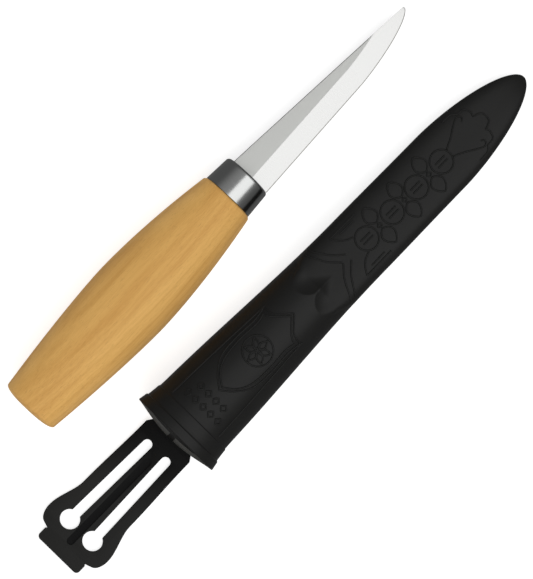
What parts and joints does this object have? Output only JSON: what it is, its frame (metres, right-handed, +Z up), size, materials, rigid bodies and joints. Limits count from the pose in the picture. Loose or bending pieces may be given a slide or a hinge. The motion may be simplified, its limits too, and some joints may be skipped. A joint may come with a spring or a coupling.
{
  "type": "chip carving knife",
  "caption": "Wood carving knife with a narrow straight blade, steel ferrule and barrel handle, beside its moulded belt sheath with a folding slotted hanger.",
  "frame": {"origin": "on the table, under the middle of the set's box", "axes": "+X along the sheath towards its tip, +Y from the sheath across to the knife and towards the knife's spine, +Z up from the table"},
  "size_m": [0.2314, 0.0751, 0.0307],
  "materials": {
    "blade_steel": "polished bevels, fine satin flats",
    "ferrule_steel": "smooth, dull",
    "birch": "oiled, satin",
    "sheath_plastic": "satin"
  },
  "bodies": {
    "sheath": {"sheath_shell": "sheath_plastic", "strap_anchor": "sheath_plastic"},
    "strap_neck": {"strap_neck": "sheath_plastic"},
    "strap_panel": {"strap_panel": "sheath_plastic"},
    "strap_tab": {"strap_tab": "sheath_plastic"},
    "knife": {"blade": "blade_steel", "ferrule": "ferrule_steel", "handle": "birch", "tang_washer": "ferrule_steel"}
  },
  "joints": [
    {"name": "knife_lift", "type": "slide", "parent": "sheath", "child": "knife", "axis": [0, 0, 1], "range_m": [0, 0.12]},
    {"name": "strap_fold", "type": "hinge", "parent": "sheath", "child": "strap_neck", "pos_m": [-0.05705, -0.0202, 0.0009], "axis": [0, -1, 0], "range_deg": [0, 90]},
    {"name": "panel_fold", "type": "hinge", "parent": "strap_neck", "child": "strap_panel", "pos_m": [-0.06095, -0.0202, 0.0009], "axis": [0, -1, 0], "range_deg": [0, 90]},
    {"name": "tab_fold", "type": "hinge", "parent": "strap_panel", "child": "strap_tab", "pos_m": [-0.10995, -0.0202, 0.0009], "axis": [0, -1, 0], "range_deg": [0, 90]}
  ],
  "couplings": [
    {"joint": "panel_fold", "follows": "strap_fold", "ratio": 1},
    {"joint": "tab_fold", "follows": "strap_fold", "ratio": 1}
  ]
}
